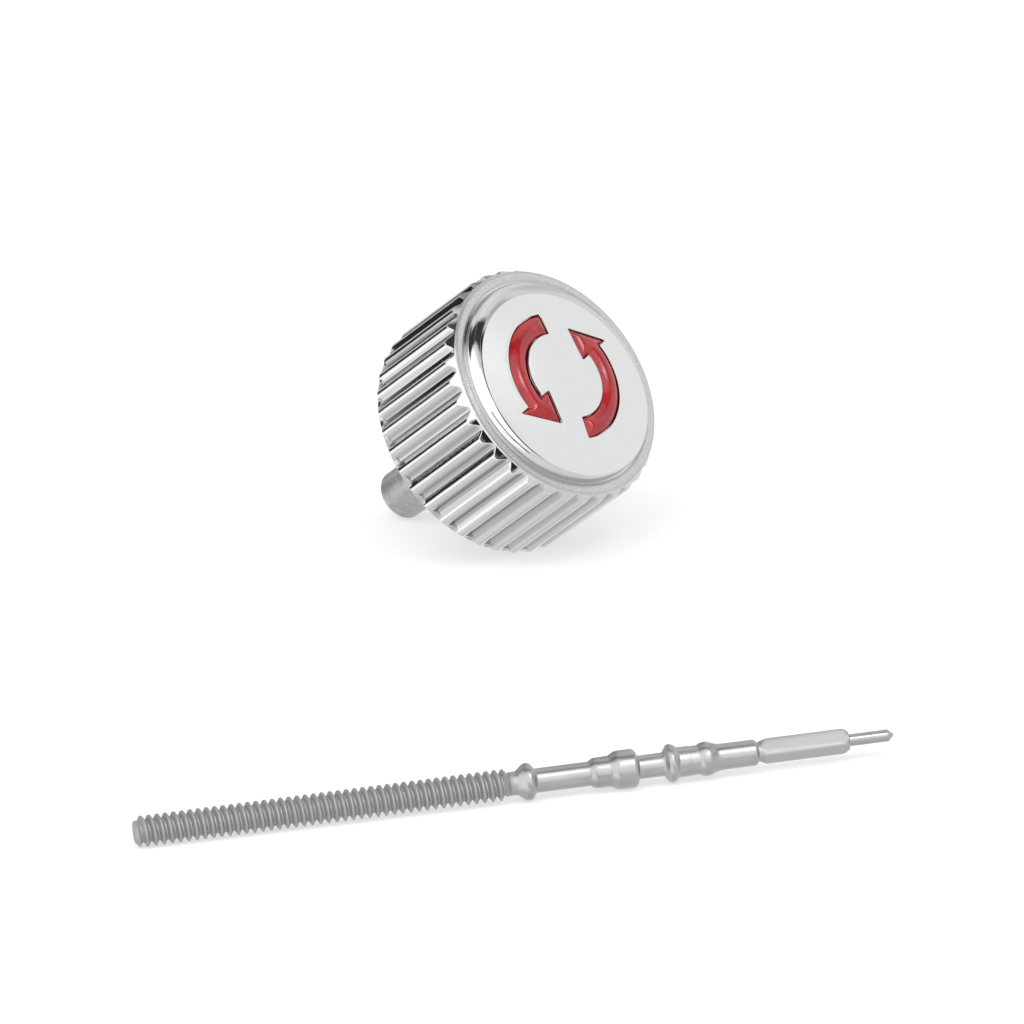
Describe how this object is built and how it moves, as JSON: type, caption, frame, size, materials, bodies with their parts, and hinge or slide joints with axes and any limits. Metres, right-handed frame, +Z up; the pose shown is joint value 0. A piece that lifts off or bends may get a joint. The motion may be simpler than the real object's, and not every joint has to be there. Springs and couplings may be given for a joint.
{
  "type": "watch crown",
  "caption": "Fluted screw-down watch crown with a cushion-shaped enamelled face and a sprung stem post, beside its threaded winding stem.",
  "frame": {"origin": "bottom centre of the bounding box of crown and stem together, on the surface they lie on", "axes": "+Z up; +X along the winding stem from its threaded end to its pilot, lifted by under half a degree; the crown stands behind it at +Y, leaning on its post and rear rim, and its face looks toward +X and -Y and upward"},
  "size_m": [0.0208, 0.025, 0.0077],
  "materials": {
    "polished_steel": "mirror-polished stainless steel with fine handling marks",
    "turned_steel": "fine-turned stainless steel",
    "satin_steel": "satin grey stainless steel with turning marks around it",
    "stem_steel": "bright turned carbon steel",
    "spring_steel": "bright drawn spring steel",
    "red_enamel": "glossy domed red enamel",
    "black_rubber": "smooth black nitrile rubber"
  },
  "bodies": {
    "head": {"fluted_cap": "polished_steel", "enamel_arrow_upper": "red_enamel", "enamel_arrow_lower": "red_enamel", "threaded_sleeve": "turned_steel", "core_tube": "turned_steel", "tube_seal_ring": "black_rubber", "flat_gasket": "black_rubber", "gasket_washer": "spring_steel", "retaining_bush": "turned_steel", "return_spring": "spring_steel"},
    "post": {"stem_post": "satin_steel", "thrust_washer": "spring_steel"},
    "stem": {"winding_stem": "stem_steel"}
  },
  "joints": [
    {"name": "post_slide", "type": "slide", "parent": "head", "child": "post", "axis": [0.5, -0.6264, 0.598], "range_m": [0, 0.0012], "stiffness_N_per_m": 1200, "springref_m": -0.0008, "deforming": ["return_spring"]},
    {"name": "stem_lift", "type": "slide", "parent": "head", "child": "stem", "axis": [0, 0, 1], "range_m": [0, 0.02]}
  ]
}
